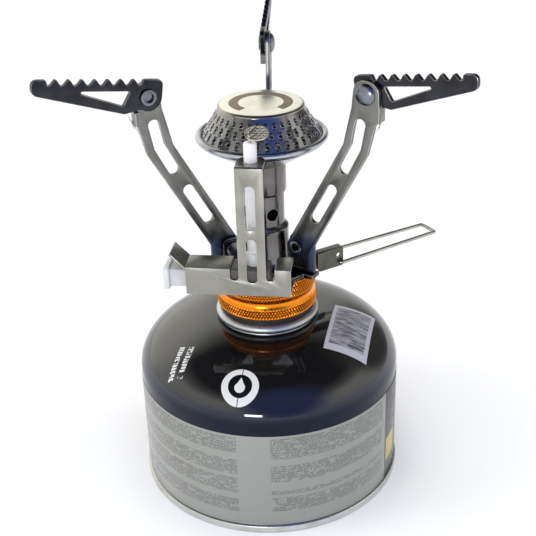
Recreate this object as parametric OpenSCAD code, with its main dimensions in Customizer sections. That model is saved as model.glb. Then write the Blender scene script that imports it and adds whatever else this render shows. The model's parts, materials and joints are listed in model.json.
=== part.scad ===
// Screw-on gas stove with folding pot supports, standing on its gas canister.
// Origin: centre of the canister's base, on the ground. +Z up, the igniter is at the front (-Y).

/* [Canister] */
// Outer diameter of the canister wall
can_d = 107.6; // [106.8:0.2:108.4]
// Outer diameter of the rolled seam at the base
seam_d = 109.2; // [108.6:0.2:109.6]
// Height at which the wall turns into the dome
shoulder_z = 51; // [49:0.5:52]
// Height at which the dome meets the valve cup
dome_z = 71.5; // [71:0.25:72]
// Thickness of the canister's sheet steel
can_sheet = 0.6; // [0.5:0.1:0.8]

/* [Valve body] */
// Diameter of the knurled valve body
body_d = 40.2; // [39.6:0.2:40.6]
// Height of the valve body
body_h = 15.8; // [15.3:0.25:15.8]
// Pitch of the canister thread
thread_pitch = 0.907; // [0.9:0.001:0.914]

/* [Burner] */
// Outer diameter of the burner's rolled rim
rim_d = 51; // [49:0.5:52]
// Diameter of the flat cap on the burner
cap_d = 33.2; // [32:0.2:34]
// Number of gas holes in one row
holes_per_row = 36; // [30:1:38]

/* [Arms] */
// Number of arms, and of pot supports
arm_count = 3; // [3:1:3]
// Thickness of an arm
arm_t = 1.8; // [1.6:0.1:1.9]
// Thickness of a pot support
support_t = 2; // [1.8:0.1:2.2]
// Upward tilt of a pot support
support_tilt = 8.8; // [7:0.2:9]
// Number of small teeth on a pot support
teeth = 7; // [5:1:7]

/* [Igniter] */
// Turn of the igniter from the middle of the front
igniter_turn = -3; // [-4:0.5:0]
// Distance from the burner's axis to the front of the igniter channel
channel_front = 38; // [37.5:0.5:39]
// Thickness of the igniter's sheet steel
channel_sheet = 0.8; // [0.7:0.1:0.9]

/* [Handle] */
// Direction of the valve handle, from +X
handle_turn = 35; // [33:1:37]
// Diameter of the handle's wire
wire_d = 1.6; // [1.5:0.1:1.7]

/* [Hidden] */
$fn = 64;

slack = 0.05;                  // radial clearance of every running fit
can_r = can_d / 2;
seam_r = seam_d / 2;
seam_h = 3.4;
cup_r = 21.1;                  // widest point of the valve cup's bead
cup_top = 76.8;
stem_r = 5.5;                  // outside of the canister's thread
body_z = cup_top + 0.9;        // the seat washer fills the gap
body_r = body_d / 2;
body_top = body_z + body_h;
engaged_turns = 6;             // turns of thread from tight to free
stem_top = body_z + engaged_turns * thread_pitch + 0.4;
spindle_z = body_z + 11.5;
insert_r = 9;                  // outside of the threaded insert
socket_top = body_z + engaged_turns * thread_pitch + 0.6;
needle_seat = 3.55;            // from the axis to the edge that the needle closes
jet_thread = 2;
plate_t = 1.6;
plate_top = body_top + plate_t;

tube_r = 8;
sleeve_r = 9;
collar_r = 9.6;
collar_top = 113;
sleeve_z = 125.8;
head_z = 138.5;                // where the burner pan leaves the sleeve
rim_r = rim_d / 2;
rim_z = 149;
cap_r = cap_d / 2;
cap_z = 160.4;
cone_foot = [rim_r - 2.5, rim_z + 0.3];
cone_head = [cap_r - 0.4, cap_z];

arm_angles = [210, 330, 90];   // left, right, back
pivot = [15.2, 105];           // arm hinge, in the arm's own plane
joint = [45.2, 171.9];         // pot support hinge, in the arm's own plane
foot_r = 23.4;                 // outer edge of the arm's foot
side_gap = 0.2;                // between an arm and what turns beside it

channel_z = 99.2;
channel_h = 11;
channel_x0 = -25.1;
channel_x1 = 14.3;
channel_depth = 11;
strip_w = 10.2;
strip_top = 150.3;
ceramic_y = -channel_front + 6.6;
ceramic_r = 2.45;
screw_x = 3.6;
screw_y = -15.6;
screw_r = 1.25;

bracket_w = 10;
bracket_r0 = body_r + 2;
bracket_r1 = bracket_r0 + 12.6;
wire_hinge = [bracket_r1 - 2.2, spindle_z - 2.2];
wire_reach = 53;

// ---- Shape helpers ----

function unit(v) = v / norm(v);

// Points of one corner at p, between its neighbours a and b, rounded to radius r
function corner(a, p, b, r, n) =
    let (u = unit(a - p), w = unit(b - p))
    let (half = acos(max(-1, min(1, u * w))) / 2)
    let (c = p + unit(u + w) * r / sin(half), s = p + u * r / tan(half), e = p + w * r / tan(half))
    let (a0 = atan2(s.y - c.y, s.x - c.x), a1 = atan2(e.y - c.y, e.x - c.x))
    let (turn = (a1 - a0 + 540) % 360 - 180)
    [for (i = [0:n]) c + r * [cos(a0 + turn * i / n), sin(a0 + turn * i / n)]];

function flat(v) = [v.x, v.y];

// Closed outline from [x, y, corner radius] points; a radius of 0 keeps the corner sharp
function rounded(pts, n = 5) =
    let (last = len(pts) - 1)
    [for (i = [0:last])
        let (before = flat(pts[i == 0 ? last : i - 1]), after = flat(pts[i == last ? 0 : i + 1]))
        each (pts[i].z == 0 ? [flat(pts[i])] : corner(before, flat(pts[i]), after, pts[i].z, n))];

// Points of an arc about c, from angle a0 to a1
function arc(c, r, a0, a1, n = 12) =
    [for (i = [0:n]) c + r * [cos(a0 + (a1 - a0) * i / n), sin(a0 + (a1 - a0) * i / n)]];

// Quarter of an ellipse from [r0, z0] up to [r1, z1]
function dome_line(r0, z0, r1, z1, n = 24) =
    [for (i = [0:n]) [r1 + (r0 - r1) * cos(90 * i / n), z0 + (z1 - z0) * sin(90 * i / n)]];

module ring(r_out, r_in, z0, z1) {
    translate([0, 0, z0])
        difference() {
            cylinder(r = r_out, h = z1 - z0);
            translate([0, 0, -1]) cylinder(r = r_in, h = z1 - z0 + 2);
        }
}

// A plate in the plane of arm number i: x of the outline is the radius, y the height,
// and the plate spans t0 to t1 across that plane, counterclockwise positive
module arm_plane(i, t0, t1) {
    rotate([0, 0, arm_angles[i]])
        translate([0, t1, 0])
            rotate([90, 0, 0])
                linear_extrude(t1 - t0)
                    children();
}

// A round bar across the plane of arm number i
module arm_bar(i, at, r, t0, t1) {
    rotate([0, 0, arm_angles[i]])
        translate([at.x, t1, at.y])
            rotate([90, 0, 0])
                cylinder(r = r, h = t1 - t0);
}

// A slot of width w through a plate, along the line from a to b
module slot(a, b, w) {
    along = unit(b - a);
    side = [-along.y, along.x] * w / 2;
    polygon([a + side, a - side, b - side, b + side]);
    translate(a) circle(d = w);
    translate(b) circle(d = w);
}

// ---- Canister ----

module canister_shell() {
    outside = concat([[can_r, seam_h - 0.9]], dome_line(can_r, shoulder_z, cup_r - 1.2, dome_z));
    inside = concat([[can_r - can_sheet, seam_h - 0.9]],
        dome_line(can_r - can_sheet, shoulder_z, cup_r - 1.2, dome_z - can_sheet));
    color("dimgray")
        rotate_extrude($fn = 128)
            polygon(concat(outside, [for (i = [len(inside) - 1:-1:0]) inside[i]]));
}

module canister_base() {
    floor_r = can_r - 3.2;
    color("silver")
        rotate_extrude($fn = 128)
            polygon(concat(
                arc([seam_r - 0.8, 0.8], 0.8, -90, 0, 4),
                arc([seam_r - 0.8, seam_h - 0.8], 0.8, 0, 90, 4),
                [[can_r, seam_h], [can_r, seam_h - 0.9], [can_r - can_sheet, seam_h - 0.9],
                    [can_r - can_sheet, seam_h], [floor_r, seam_h], [floor_r - 4, 6], [0, 9.5], [0, 8.9],
                    [floor_r - 4.2, 5.4], [floor_r - 0.6, 2.6], [floor_r, 0]]));
}

module canister_label() {
    color("gray")
        rotate_extrude($fn = 128)
            translate([can_r + 0.02, seam_h + 0.1])
                square([0.12, 43.2]);
}

module valve_cup() {
    wall = 0.7;
    bead = 1.9;
    color("silver")
        rotate_extrude($fn = 96)
            polygon(concat(
                [[cup_r - 1.2, dome_z - can_sheet], [cup_r - 1.2, dome_z]],
                arc([cup_r - bead, dome_z + bead + 0.3], bead, -75, 90, 12),
                [[cup_r - bead, cup_top], [15.5, cup_top], [14.6, cup_top - 1], [14, 71], [8, 69.5], [stem_r, 71],
                    [stem_r, 70], [8, 69.5 - wall], [14.5, 70], [15.5, dome_z - 2.2]]));
}

module valve_stem() {
    color("goldenrod")
        difference() {
            union() {
                translate([0, 0, 58]) cylinder(r = stem_r, h = stem_top - 58);
                translate([0, 0, 58]) cylinder(r = 7, h = 8);
            }
            translate([0, 0, stem_top - 3.4]) cylinder(r = 3, h = 4);
            translate([0, 0, 60]) cylinder(r = 3.2, h = 17.5);
            translate([0, 0, 57]) cylinder(r = 1.2, h = 4);
            translate([0, 0, 76]) cylinder(r = 1.2 + slack, h = 10);
        }
}

module valve_stem_gasket() {
    color("black") ring(2.9, 1.3, stem_top - 3.4, stem_top - 1.6);
}

module valve_pin() {
    color("goldenrod") {
        translate([0, 0, 72]) cylinder(r = 2.6, h = 1.6);
        translate([0, 0, 72]) cylinder(r = 1.2, h = stem_top - 2.6 - 72);
    }
}

// A round wire swept along points; each ring lies across the line through its neighbours
module swept(points, r, sides = 8) {
    last = len(points) - 1;
    rings = [for (i = [0:last])
        let (along = unit(points[min(i + 1, last)] - points[max(i - 1, 0)]))
        let (across = unit(cross(along, [0, 0, 1])), up = cross(across, along))
        each [for (k = [0:sides - 1])
            points[i] + r * (cos(360 * k / sides) * across + sin(360 * k / sides) * up)]];
    walls = [for (i = [0:last - 1], k = [0:sides - 1])
        let (a = i * sides + k, b = i * sides + (k + 1) % sides)
        [a, b, b + sides, a + sides]];
    ends = [[for (k = [sides - 1:-1:0]) k], [for (k = [0:sides - 1]) last * sides + k]];
    polyhedron(rings, concat(walls, ends));
}

module valve_spring() {
    turns = 6;
    foot = 60.4;
    height = 11.1;
    color("silver")
        swept([for (i = [0:16 * turns])
            [2.3 * cos(22.5 * i), 2.3 * sin(22.5 * i), foot + height * i / (16 * turns)]], 0.3);
}

module seat_washer() {
    color("black") ring(body_r - 0.7, 10.5, cup_top, body_z);
}

// ---- Valve body ----

module valve_body() {
    groove_z = 6.9;
    groove_half = 2.4;
    groove_deep = 0.9;
    color("darkorange")
        difference() {
            rotate_extrude($fn = 128)
                polygon(concat(
                    [[0, body_z], [body_r - 0.6, body_z], [body_r, body_z + 0.6]],
                    [for (t = [-1:1 / 6:1.01])
                        [body_r - groove_deep * (1 - t * t), body_z + groove_z + groove_half * t]],
                    [[body_r, body_top - 0.7], [body_r - 0.7, body_top], [0, body_top]]));
            // socket for the threaded insert, then the gas inlet up to the needle's seat
            translate([0, 0, body_z - 1]) cylinder(r = insert_r, h = socket_top - body_z + 1);
            translate([0, 0, body_z]) cylinder(r = 1.8, h = 7.8);
            translate([0, 0, body_z]) cylinder(r = 1.2, h = spindle_z + 0.9 - body_z);
            translate([0, 0, body_top - jet_thread - 0.5]) cylinder(r = 3, h = jet_thread + 1);
            handle_frame() {
                along_x(0.9, 0, needle_seat);
                along_x(1.7 + slack, needle_seat, body_r + 2);
                along_x(3.6, 10, body_r + 2);
                // drilled from the jet's pocket down to the needle chamber
                translate([2.2, 0, 2.2]) rotate([0, 125, 0]) cylinder(r = 0.5, h = 2.4);
            }
        }
}

module thread_insert() {
    color("goldenrod")
        ring(insert_r, stem_r + slack, body_z + 0.1, socket_top);
}

module opening_pin() {
    color("goldenrod")
        translate([0, 0, stem_top - 2.55])
            difference() {
                union() {
                    cylinder(r = 1.1, h = 3.2);
                    translate([0, 0, 2.7]) cylinder(r = 1.78, h = 1.4);
                }
                translate([0, 0, 0.6]) cylinder(r = 0.5, h = 5);
                translate([-2, 0, 1.2]) rotate([0, 90, 0]) cylinder(r = 0.4, h = 4);
            }
}

module gas_jet() {
    color("goldenrod")
        translate([0, 0, body_top])
            difference() {
                union() {
                    translate([0, 0, -jet_thread]) cylinder(r = 3, h = jet_thread);
                    cylinder(r = 3.4, h = 3.2, $fn = 6);
                    translate([0, 0, 3.2]) cylinder(r1 = 2.4, r2 = 1.4, h = 2);
                }
                translate([0, 0, -jet_thread - 1]) cylinder(r = 1.2, h = jet_thread + 5);
                cylinder(r = 0.2, h = 6, $fn = 16);
            }
}

// ---- Base plate with one ear beside each arm ----

// Holes for the two screws that hold the igniter on the base plate
module screw_holes(z, h) {
    igniter_frame()
        for (x = [-screw_x, screw_x])
            translate([x, screw_y, z]) cylinder(r = screw_r, h = h);
}

ear_t0 = arm_t / 2 + side_gap;
ear_t1 = ear_t0 + 1.6;

module base_plate() {
    ear = rounded([[10.9, body_top, 0], [19.4, body_top, 0], [19.4, 109.6, 2.6], [10.9, 109.6, 2.6]]);
    color("slategray")
        difference() {
            union() {
                translate([0, 0, body_top]) cylinder(r = body_r - 0.4, h = plate_t, $fn = 128);
                for (i = [0:arm_count - 1]) {
                    arm_plane(i, ear_t0, ear_t1) polygon(ear);
                    rotate([0, 0, arm_angles[i]])
                        translate([12, -2.6, body_top])
                            cube([foot_r - 11.6, ear_t1 + 2.6, plate_t]);
                }
            }
            translate([0, 0, body_top - 1]) cylinder(r = 7.2, h = plate_t + 2);
            for (i = [0:arm_count - 1])
                arm_bar(i, pivot, 2, ear_t0 - 1, ear_t1 + 1);
            screw_holes(body_top - 1, plate_t + 2);
        }
}

module base_rivets() {
    color("lightslategray")
        for (i = [0:arm_count - 1])
            difference() {
                union() {
                    arm_bar(i, pivot, 2, -arm_t / 2 - 0.2, ear_t1);
                    arm_bar(i, pivot, 2.9, ear_t1, ear_t1 + 1);
                    arm_bar(i, pivot, 2.7, -arm_t / 2 - 0.7, -arm_t / 2 - 0.1);
                }
                arm_bar(i, pivot, 1.5, -arm_t / 2 - 2, ear_t1 - 0.6);
            }
}

// ---- Burner ----

module mixer_collar() {
    color("lightslategray")
        rotate_extrude($fn = 96)
            polygon([[tube_r, plate_top], [collar_r + 1.2, plate_top], [collar_r + 1.2, plate_top + 1.6],
                [collar_r, plate_top + 2.4], [collar_r, collar_top - 2.2], [tube_r, collar_top]]);
}

module mixer_tube() {
    hole_z = 118;
    color("lightslategray")
        difference() {
            ring(tube_r, tube_r - 0.8, plate_top, head_z + 1);
            for (i = [0:3])
                rotate([0, 0, 30 + 90 * i])
                    translate([0, 0, hole_z])
                        rotate([0, 90, 0]) cylinder(r = 2.5, h = tube_r + 2);
        }
}

module burner_sleeve() {
    color("slategray")
        rotate_extrude($fn = 96)
            polygon([[tube_r, sleeve_z], [tube_r + 0.3, sleeve_z], [sleeve_r, sleeve_z + 1.3],
                [sleeve_r, head_z], [tube_r, head_z]]);
}

module burner_pan() {
    wall = 0.6;
    bead = 1.2;
    under = [[tube_r, head_z], [sleeve_r + 1, head_z], [rim_r - 6, rim_z - 4.6], [rim_r - 1.4, rim_z - 1.9]];
    color("silver")
        rotate_extrude($fn = 128)
            polygon(concat(
                under,
                arc([rim_r - bead, rim_z], bead, -80, 180, 14),
                [[rim_r - 2 * bead, rim_z - 0.9], [rim_r - 6, rim_z - 4.6 + wall * 1.4],
                    [sleeve_r + 1, head_z + wall], [tube_r, head_z + wall]]));
}

module flame_screen() {
    color("silver")
        difference() {
            translate([0, 0, rim_z - 3.2]) cylinder(r = rim_r - 5.32, h = 0.4);
            for (row = [1:4], i = [0:6 * row - 1])
                rotate([0, 0, 360 * i / (6 * row)])
                    translate([4.2 * row, 0, rim_z - 4]) cylinder(r = 1.1, h = 2, $fn = 16);
        }
}

module burner_cone() {
    wall = [0.95, 0];
    skirt = [0, -1.25];
    slope = unit(cone_head - cone_foot);
    lean = atan2(slope.y, slope.x);
    color("slategray")
        difference() {
            rotate_extrude($fn = 128)
                polygon([cone_foot + skirt, cone_foot, cone_head, cone_head - wall, cone_foot - wall,
                    cone_foot + skirt - wall]);
            for (row = [0:2], i = [0:holes_per_row - 1]) {
                at = cone_foot + (cone_head - cone_foot) * (0.19 + 0.285 * row);
                rotate([0, 0, 360 * (i + 0.5 * (row % 2)) / holes_per_row])
                    translate([at.x, 0, at.y])
                        rotate([0, lean - 90, 0])
                            rotate([0, 90, 0])
                                translate([0, 0, -1.5]) cylinder(r = 1 - 0.14 * row, h = 3, $fn = 16);
            }
        }
}

module burner_cap() {
    color("ivory")
        rotate_extrude($fn = 128)
            polygon([[0, cap_z], [cap_r, cap_z], [cap_r, cap_z + 0.5], [cap_r - 0.7, cap_z + 1.1],
                [0, cap_z + 1.3]]);
}

// ---- Arms ----

module arm(i) {
    lug_r = joint.x + 3.8;
    lug_z = 161.8;
    lug_h = 5.4;
    outline = rounded([
        [foot_r, plate_top + 0.1, 0.8], [foot_r, 107.2, 3], [46.4, 149.2, 6], [49.4, 161.4, 1.2],
        [50.8, 161.8, 0.6], [50.8, 167.2, 0.6], [50.4, 176.6, 4.6], [40.6, 177, 4.4], [39.6, 166.4, 3],
        [36.3, 152, 7], [10.6, 105.2, 4.4], [12.6, 100.4, 3.6], [18.2, 100.6, 1.2],
        [18.6, plate_top + 0.1, 0.8]]);
    lug = rounded([[lug_r, lug_z, 0.4], [50.8, lug_z, 0.4], [50.8, lug_z + lug_h, 0.4],
        [lug_r, lug_z + lug_h, 0.4]]);
    color("gray")
        difference() {
            union() {
                arm_plane(i, -arm_t / 2, arm_t / 2) polygon(outline);
                arm_plane(i, 0, arm_t / 2 + support_t + 2 * side_gap + 0.6) polygon(lug);
            }
            arm_plane(i, -arm_t, arm_t) slot([24.2, 119.6], [31.5, 132.8], 4.2);
            arm_plane(i, -arm_t, arm_t) slot([36.8, 142.2], [41.5, 151.6], 4.2);
            arm_plane(i, -arm_t, arm_t) slot([41.5, 151.6], [43.2, 160.4], 4.2);
            arm_bar(i, pivot, 2 + slack, -arm_t, arm_t);
            arm_bar(i, joint, 2.4, -arm_t, arm_t);
        }
}

module top_rivet(i) {
    tail = arm_t / 2 + support_t + 2 * side_gap;
    dome_r = 4;
    color("lightslategray")
        difference() {
            union() {
                arm_bar(i, joint, 2.4, -arm_t / 2, tail + 0.4);
                rotate([0, 0, arm_angles[i]])
                    translate([joint.x, -arm_t / 2, joint.y])
                        rotate([90, 0, 0])
                            rotate_extrude()
                                polygon(concat([[0, 0]], dome_line(dome_r, 0, 0, 1.9, 12)));
                arm_bar(i, joint, 2.95, tail, tail + 0.5);
            }
            arm_bar(i, joint, 1.9, tail - 1.6, tail + 1);
        }
}

// Outline of a pot support about its hinge, its toothed edge level
function support_outline() =
    let (top = 6.4, low = 4.7, hub = 5.3, pitch = 4.65, first = 5.6, half = 1.05)
    concat(
        arc([0, 0], hub, 180, 296, 12),
        rounded([[3.2, -4.75, 0], [8.4, -6.1, 1.2], [41.8, 0.95, 2.6], [42, top - 0.2, 2],
            [36.8, top, 0.8], [36.3, low, 0]], 4),
        [for (i = [teeth - 1:-1:0])
            let (x = first + pitch * i)
            each concat(
                arc([x + pitch / 2, low + 0.55], 0.9, -50, -130, 4),
                arc([x, top - 0.75], 0.75, 35, 145, 4))],
        arc([first - pitch / 2, low + 0.55], 0.9, -50, -130, 4),
        [[2, top]],
        arc([-hub + 2, top - 2], 2, 90, 180, 5));

module pot_support(i) {
    t0 = arm_t / 2 + side_gap;
    color("darkslategray")
        difference() {
            rotate([0, 0, arm_angles[i]])
                translate([joint.x, t0 + support_t, joint.y])
                    rotate([90, 0, 0])
                        linear_extrude(support_t)
                            rotate([0, 0, support_tilt])
                                difference() {
                                    polygon(support_outline());
                                    polygon(rounded([[6.6, 2.2, 0.7], [27.6, 2.2, 0.5], [9, -3.1, 0.7]]));
                                }
            arm_bar(i, joint, 2.4 + slack, 0, arm_t + support_t + 2);
        }
}

// ---- Valve spindle and folding handle, drawn along +X at height 0 ----

module handle_frame() {
    rotate([0, 0, handle_turn])
        translate([0, 0, spindle_z])
            children();
}

module along_x(r, x0, x1) {
    translate([x0, 0, 0]) rotate([0, 90, 0]) cylinder(r = r, h = x1 - x0);
}

module spindle_gland() {
    color("goldenrod")
        handle_frame()
            difference() {
                union() {
                    along_x(3.6, 13.4, body_r);
                    translate([body_r, 0, 0]) rotate([0, 90, 0]) cylinder(r = 3.9, h = 1, $fn = 6);
                }
                along_x(1.7 + slack, 12, body_r + 2);
            }
}

module spindle_oring() {
    color("black")
        handle_frame()
            difference() {
                along_x(3.5, 10.2, 12.2);
                along_x(1.7 + slack, 10, 13);
            }
}

module valve_spindle() {
    color("goldenrod")
        handle_frame() {
            along_x(1.7, 4.4, bracket_r0 + 1.6);
            translate([2.6, 0, 0]) rotate([0, 90, 0]) cylinder(r1 = 0.4, r2 = 1.3, h = 1.8);
        }
}

module handle_bracket() {
    sheet = 0.8;
    x0 = bracket_r0;
    x1 = bracket_r1;
    hinge = wire_hinge.y - spindle_z;
    near = rounded([[x0, -4.2, 1.4], [x1, -4.2, 1], [x1, 4.2, 0], [x0, 4.2, 0]]);
    far = rounded([[x0, -4.2, 1.4], [x1, -4.2, 1], [x1, 0, 1], [x0, 0, 0]]);
    color("darkgray")
        handle_frame()
            difference() {
                union() {
                    translate([0, -bracket_w / 2 + sheet, 0])
                        rotate([90, 0, 0]) linear_extrude(sheet) polygon(near);
                    translate([0, bracket_w / 2, 0]) rotate([90, 0, 0]) linear_extrude(sheet) polygon(far);
                    translate([x0, -bracket_w / 2, -3]) cube([sheet, bracket_w, 7.2]);
                    translate([x0, -bracket_w / 2, 4.2 - sheet]) cube([x1 - x0, 4.2, sheet]);
                }
                along_x(1.7, x0 - 1, x0 + 2);
                translate([wire_hinge.x, bracket_w, hinge])
                    rotate([90, 0, 0]) cylinder(r = wire_d / 2 + slack, h = 2 * bracket_w);
                translate([wire_hinge.x - 0.3, 0, hinge + 3.4])
                    rotate([90, 0, 0]) cylinder(r = 0.9, h = bracket_w);
            }
}

module handle_wire() {
    r = wire_d / 2;
    side_y = bracket_w / 2 + 0.4 + r;
    bend = 2.6;
    hook = 1.2;
    color("silver")
        rotate([0, 0, handle_turn])
            translate([wire_hinge.x, 0, wire_hinge.y]) {
                for (side = [0, 1])
                    mirror([0, side, 0]) {
                        // hook into the bracket, its bend, the leg, and half of the end
                        translate([0, bracket_w / 2 - 1.4, 0])
                            rotate([-90, 0, 0]) cylinder(r = r, h = side_y - hook - bracket_w / 2 + 1.4);
                        translate([hook, side_y - hook, 0])
                            rotate([0, 0, 90]) rotate_extrude(angle = 90) translate([hook, 0]) circle(r = r);
                        translate([hook, side_y, 0])
                            rotate([0, 90, 0]) cylinder(r = r, h = wire_reach - bend - hook);
                        translate([wire_reach - bend, side_y - bend, 0])
                            rotate_extrude(angle = 90) translate([bend, 0]) circle(r = r);
                    }
                translate([wire_reach, -(side_y - bend), 0])
                    rotate([-90, 0, 0]) cylinder(r = r, h = 2 * (side_y - bend));
            }
}

// ---- Igniter, drawn at the front of the stove ----

module igniter_frame() {
    rotate([0, 0, igniter_turn]) children();
}

// A box given by two opposite corners
module block(a, b) {
    translate(a) cube(b - a);
}

module igniter_channel() {
    s = channel_sheet;
    front = -channel_front;
    back = front + channel_depth;
    z1 = channel_z + channel_h;
    notch = 3.2;
    tab = 7.6;
    inner = strip_w / 2 + notch;
    color("gainsboro")
        igniter_frame()
            difference() {
                union() {
                    block([channel_x0, front, channel_z], [channel_x1, front + s, z1]);
                    block([channel_x0, front, channel_z], [channel_x1, back, channel_z + s]);
                    block([channel_x0, front, z1 - s], [-inner, back, z1]);
                    block([inner, front, z1 - s], [channel_x1, back, z1]);
                    // strip and its top tab, which holds the ceramic tube
                    block([-strip_w / 2, front, channel_z + 4], [strip_w / 2, front + s, strip_top]);
                    translate([0, 0, strip_top - s])
                        linear_extrude(s)
                            polygon(rounded([[-strip_w / 2, front, 0], [strip_w / 2, front, 0],
                                [strip_w / 2, ceramic_y + 4.4, 3.6], [-strip_w / 2, ceramic_y + 4.4, 3.6]]));
                    // end tab, bent up at 45 degrees
                    translate([channel_x0, 0, z1])
                        rotate([0, 45, 0])
                            block([-tab, front, -s], [0.3, back, 0]);
                    // tongue back to the base plate
                    block([-6, back - 1, channel_z], [6, -21, channel_z + s]);
                    block([-6, -21 - s, plate_top], [6, -21, channel_z + s]);
                    block([-6, -21, plate_top], [6, -collar_r - 2, plate_top + s]);
                }
                // round-bottomed notches beside the strip
                for (side = [-1, 1])
                    translate([side * inner - side * notch / 2, front + s + 1, z1 - notch]) {
                        rotate([90, 0, 0]) cylinder(r = notch / 2, h = s + 2);
                        block([-notch / 2, -s - 2, 0], [notch / 2, 0, notch + 1]);
                    }
                translate([0, front + s + 1, 0])
                    rotate([90, 0, 0])
                        linear_extrude(s + 2) {
                            slot([0, channel_z + 7.2], [0, 120.4], 3.8);
                            slot([0, 127.6], [0, 141.2], 3.8);
                        }
                translate([0, ceramic_y, strip_top - 5]) cylinder(r = ceramic_r, h = 10);
                rotate([0, 0, -igniter_turn]) screw_holes(plate_top - 1, 4);
            }
}

module igniter_screws() {
    head_z = plate_top + channel_sheet;
    color("silver") {
        screw_holes(body_top, head_z - body_top);
        igniter_frame()
            for (x = [-screw_x, screw_x])
                translate([x, screw_y, head_z])
                    difference() {
                        cylinder(r = 2.1, h = 1);
                        translate([0, 0, 0.5]) cylinder(r = 1, h = 1, $fn = 6);
                    }
    }
}

module piezo_unit() {
    s = channel_sheet;
    front = -channel_front + s + 0.1;
    back = -channel_front + channel_depth - 0.6;
    z0 = channel_z + s + 0.1;
    z1 = channel_z + channel_h - s - 0.1;
    mid = (front + back) / 2;
    color("whitesmoke")
        igniter_frame()
            difference() {
                block([channel_x0 + 0.6, front, z0], [6, back, z1]);
                block([channel_x0, mid - 3.9, z0 + 0.6], [channel_x0 + 13, mid + 3.9, z1 - 0.6]);
                translate([0, ceramic_y, z1 - 4]) cylinder(r = 1.2, h = 5);
            }
}

module piezo_button() {
    mid = -channel_front + (channel_depth + 0.3) / 2;
    zm = channel_z + channel_h / 2;
    flange_x = channel_x0 - 6.4;
    color("lightgray")
        igniter_frame() {
            block([flange_x, mid - 3.6, zm - 3.55], [channel_x0 + 7, mid + 3.6, zm + 3.55]);
            block([flange_x - 2.3, mid - 4.8, zm - 4.3], [flange_x, mid + 4.8, zm + 4.3]);
        }
}

module lead_boot() {
    z0 = channel_z + channel_h - channel_sheet;
    color("lightgray")
        igniter_frame()
            translate([0, ceramic_y, 0]) {
                translate([0, 0, z0 - 0.05]) cylinder(r = 2.9, h = 114.4 - z0);
                translate([0, 0, z0 - 2.6]) cylinder(r = 1.15, h = 3);
            }
}

module ceramic_tube() {
    color("white")
        igniter_frame()
            translate([0, ceramic_y, 114.4])
                difference() {
                    union() {
                        cylinder(r = ceramic_r, h = 42.4);
                        translate([0, 0, 42.4]) cylinder(r1 = ceramic_r, r2 = ceramic_r - 0.5, h = 0.6);
                    }
                    translate([0, 0, 30]) cylinder(r = 0.6, h = 20);
                }
}

// The disc leans towards the front, and the electrode's wire comes up through it and lies across its top
disc_at = [2.2, ceramic_y + 2.4, 159.6];
disc_lean = 15;
disc_t = 0.5;
electrode_r = 0.58;
wire_lift = disc_t + electrode_r + 0.02;
bend_at = [-disc_at.x, (wire_lift * sin(disc_lean) + ceramic_y - disc_at.y) / cos(disc_lean), wire_lift];

module disc_frame() {
    igniter_frame() translate(disc_at) rotate([disc_lean, 0, 0]) children();
}

// The wire rises, bends towards the back along the disc's top, and ends over the disc's far side
module electrode_wire() {
    foot_z = 144.6;
    bend_r = 0.8;
    bend = 75;
    corner_z = disc_at.z + sin(disc_lean) * bend_at.y + cos(disc_lean) * wire_lift;
    cut = bend_r * tan(bend / 2);
    rise = corner_z - foot_z - cut;
    color("silver")
        igniter_frame()
            translate([0, ceramic_y, foot_z]) rotate([0, 0, 71]) {
                cylinder(r = electrode_r, h = rise);
                translate([bend_r, 0, rise])
                    rotate([90, 0, 180])
                        rotate_extrude(angle = bend) translate([bend_r, 0]) circle(r = electrode_r);
                translate([bend_r, 0, rise])
                    rotate([0, bend, 0]) translate([-bend_r, 0, 0]) cylinder(r = electrode_r, h = 5.2 - cut);
            }
}

module spark_disc() {
    r = 4.35;
    pitch = 1.65;
    color("silver")
        difference() {
            disc_frame()
                difference() {
                    cylinder(r = r, h = disc_t);
                    for (row = [-2:2], col = [-2:2]) {
                        at = [(col + (row % 2) / 2) * pitch, row * pitch * 0.87];
                        if (norm(at) < r - 0.85)
                            translate([at.x, at.y, -1]) cylinder(r = 0.68, h = 3, $fn = 16);
                    }
                }
            igniter_frame()
                translate([0, ceramic_y, disc_at.z - 5]) cylinder(r = electrode_r + 0.3, h = 10);
        }
}

canister_shell();
canister_base();
canister_label();
valve_cup();
valve_stem();
valve_stem_gasket();
valve_pin();
valve_spring();
seat_washer();
valve_body();
thread_insert();
opening_pin();
gas_jet();
base_plate();
base_rivets();
mixer_collar();
mixer_tube();
burner_sleeve();
burner_pan();
flame_screen();
burner_cone();
burner_cap();
arm(0);  // arm_left
arm(1);  // arm_right
arm(2);  // arm_back
top_rivet(0);  // top_rivet_left
top_rivet(1);  // top_rivet_right
top_rivet(2);  // top_rivet_back
pot_support(0);  // pot_support_left
pot_support(1);  // pot_support_right
pot_support(2);  // pot_support_back
spindle_gland();
spindle_oring();
valve_spindle();
handle_bracket();
handle_wire();
igniter_channel();
igniter_screws();
piezo_unit();
piezo_button();
lead_boot();
ceramic_tube();
electrode_wire();
spark_disc();
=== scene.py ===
"""A camping stove on its gas canister: the finished looks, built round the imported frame.

Each sub-assembly is a class that shapes its own pieces and gives them their finishes. Sizes are in
millimetres and are turned into metres where a mesh is made. The frame stands on the ground with +Z up, and
-Y is its front.
"""

from __future__ import annotations

import json
import logging
import math
from dataclasses import dataclass, field, replace
from enum import Enum
from functools import lru_cache
from typing import Any, Sequence

import bmesh
import bpy
from mathutils import Matrix, Vector

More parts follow.
